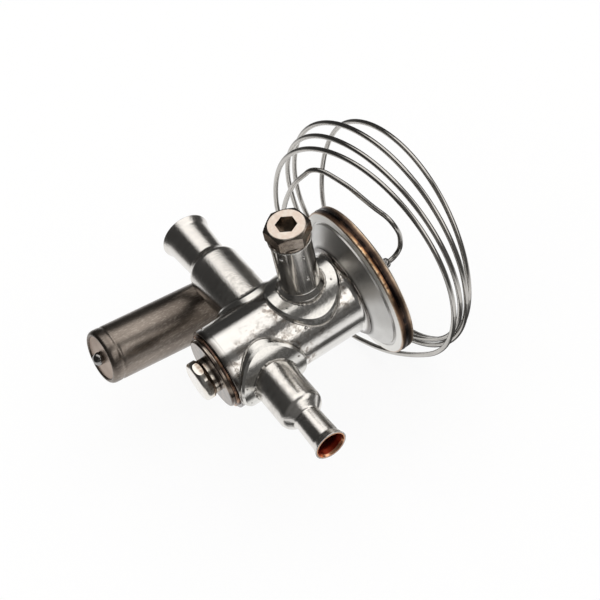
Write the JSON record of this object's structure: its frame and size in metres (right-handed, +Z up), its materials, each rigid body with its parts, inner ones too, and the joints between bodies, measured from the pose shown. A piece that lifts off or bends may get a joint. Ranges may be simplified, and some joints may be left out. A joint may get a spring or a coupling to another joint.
{
  "type": "thermostatic expansion valve",
  "caption": "Stainless steel expansion valve with a diaphragm head, two solder connectors, a superheat setting spindle, and a coiled capillary tube that ends in a sensing bulb.",
  "frame": {"origin": "centre of the inlet socket's mouth, at the end of its flared lip", "axes": "+X along the body from the plug to the diaphragm head, +Y the way the refrigerant flows from the inlet to the outlet, +Z up along the setting boss"},
  "size_m": [0.0948, 0.0841, 0.0763],
  "materials": {
    "polished_steel": "polished stainless steel",
    "welded_steel": "stainless steel with welding tint and spatter",
    "spindle_steel": "satin face, polished flats",
    "capillary_steel": "drawn bright stainless tube",
    "bulb_steel": "stainless steel, heat tinted brown and grey",
    "spring_steel": "plain",
    "brass": "machined",
    "copper": "dull copper",
    "seal_rubber": "moulded"
  },
  "bodies": {
    "valve_body": {"body_tube": "polished_steel", "inlet_saddle": "welded_steel", "outlet_saddle": "welded_steel", "boss_saddle": "welded_steel", "inlet_connector": "polished_steel", "outlet_connector": "polished_steel", "inlet_liner": "copper", "outlet_liner": "copper", "inlet_strainer": "spring_steel", "setting_boss": "polished_steel", "setting_washer": "polished_steel", "superheat_spring": "spring_steel", "rod_guide": "brass", "orifice_insert": "brass", "cone_spring": "spring_steel", "plug_gasket": "copper", "body_plug": "polished_steel", "head_cup": "polished_steel", "diaphragm": "spring_steel", "rim_braze": "copper", "head_cover": "polished_steel", "capillary_ferrule": "polished_steel", "capillary_tube": "capillary_steel", "bulb_shell": "bulb_steel", "bulb_end_disc": "bulb_steel", "bulb_fill_stub": "bulb_steel", "bulb_fill_bead": "bulb_steel"},
    "setting_spindle": {"setting_spindle": "spindle_steel", "spindle_seal_ring": "seal_rubber"},
    "setting_wedge": {"setting_wedge": "brass"},
    "spring_seat": {"spring_seat": "brass"},
    "valve_train": {"pressure_pad": "brass", "push_rod": "spring_steel", "valve_cone": "spring_steel"}
  },
  "joints": [
    {"name": "spindle_turn", "type": "hinge", "parent": "valve_body", "child": "setting_spindle", "pos_m": [0.0188, 0.0383, 0.032], "axis": [0, 0, 1], "range_deg": [-720, 720]},
    {"name": "wedge_slide", "type": "slide", "parent": "valve_body", "child": "setting_wedge", "axis": [0, 0, 1], "range_m": [-0.00139, 0.00139]},
    {"name": "seat_slide", "type": "slide", "parent": "valve_body", "child": "spring_seat", "axis": [1, 0, 0], "range_m": [-0.00043, 0.00043], "deforming": ["superheat_spring"]},
    {"name": "valve_stroke", "type": "slide", "parent": "valve_body", "child": "valve_train", "axis": [1, 0, 0], "range_m": [-0.0008, 0], "stiffness_N_per_m": 2000, "deforming": ["cone_spring", "superheat_spring", "diaphragm"]}
  ],
  "couplings": [
    {"joint": "spindle_turn", "follows": "wedge_slide", "rad_per_m": -8976},
    {"joint": "seat_slide", "follows": "wedge_slide", "ratio": 0.3}
  ]
}
